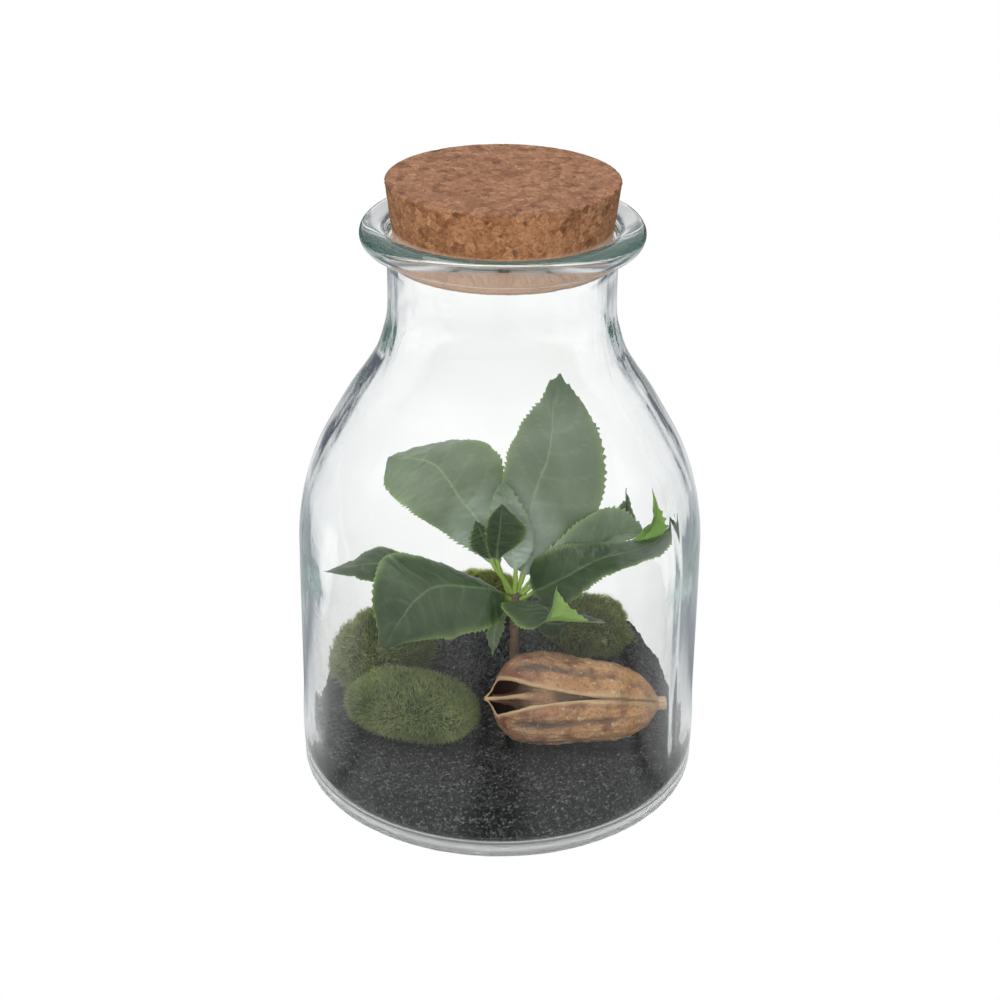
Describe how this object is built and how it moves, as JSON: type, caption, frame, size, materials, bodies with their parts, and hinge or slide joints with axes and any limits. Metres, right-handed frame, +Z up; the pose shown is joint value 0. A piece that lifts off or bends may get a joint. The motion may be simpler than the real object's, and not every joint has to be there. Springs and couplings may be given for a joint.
{
  "type": "corked glass bottle terrarium",
  "caption": "Clear glass bottle with a wide cork, holding dark sand, moss stones, a dry seed capsule and a small broad-leaved evergreen plant",
  "frame": {"origin": "The centre of the jar's foot, on the surface that the jar stands on", "axes": "+Z runs up the jar's axis to the cork, -Y is the front that shows the open seam of the seed capsule, +X is the right side seen from the front"},
  "size_m": [0.1098, 0.1098, 0.1685],
  "materials": {
    "clear_glass": "clear polished glass, slightly wavy",
    "cork": "pressed cork granules with small dark pits",
    "dark_sand": "coarse matt grains",
    "moss": "short dense moss fibres",
    "dry_capsule": "dry ribbed husk, matt",
    "woody_stem": "thin bark, satin",
    "evergreen_leaf": "waxy leaf, satin gloss",
    "young_leaf": "fresh leaf, satin"
  },
  "bodies": {
    "root": {"glass_jar": "clear_glass", "cork_stopper": "cork", "sand_bed": "dark_sand", "moss_front_left": "moss", "moss_back_left": "moss", "moss_back_right": "moss", "moss_back_centre": "moss", "seed_capsule": "dry_capsule", "plant_stem": "woody_stem", "leaf_upright": "evergreen_leaf", "leaf_upper_left": "evergreen_leaf", "leaf_back_left": "evergreen_leaf", "leaf_front_left": "evergreen_leaf", "leaf_right_upper": "evergreen_leaf", "leaf_right_young": "young_leaf", "leaf_right_long": "evergreen_leaf", "leaf_back_right": "evergreen_leaf", "leaf_front_folded": "evergreen_leaf", "leaf_low_right": "evergreen_leaf", "leaf_small_hanging": "young_leaf", "leaf_centre_front": "evergreen_leaf", "leaf_centre_back": "evergreen_leaf", "leaf_centre_side": "evergreen_leaf"}
  },
  "joints": []
}
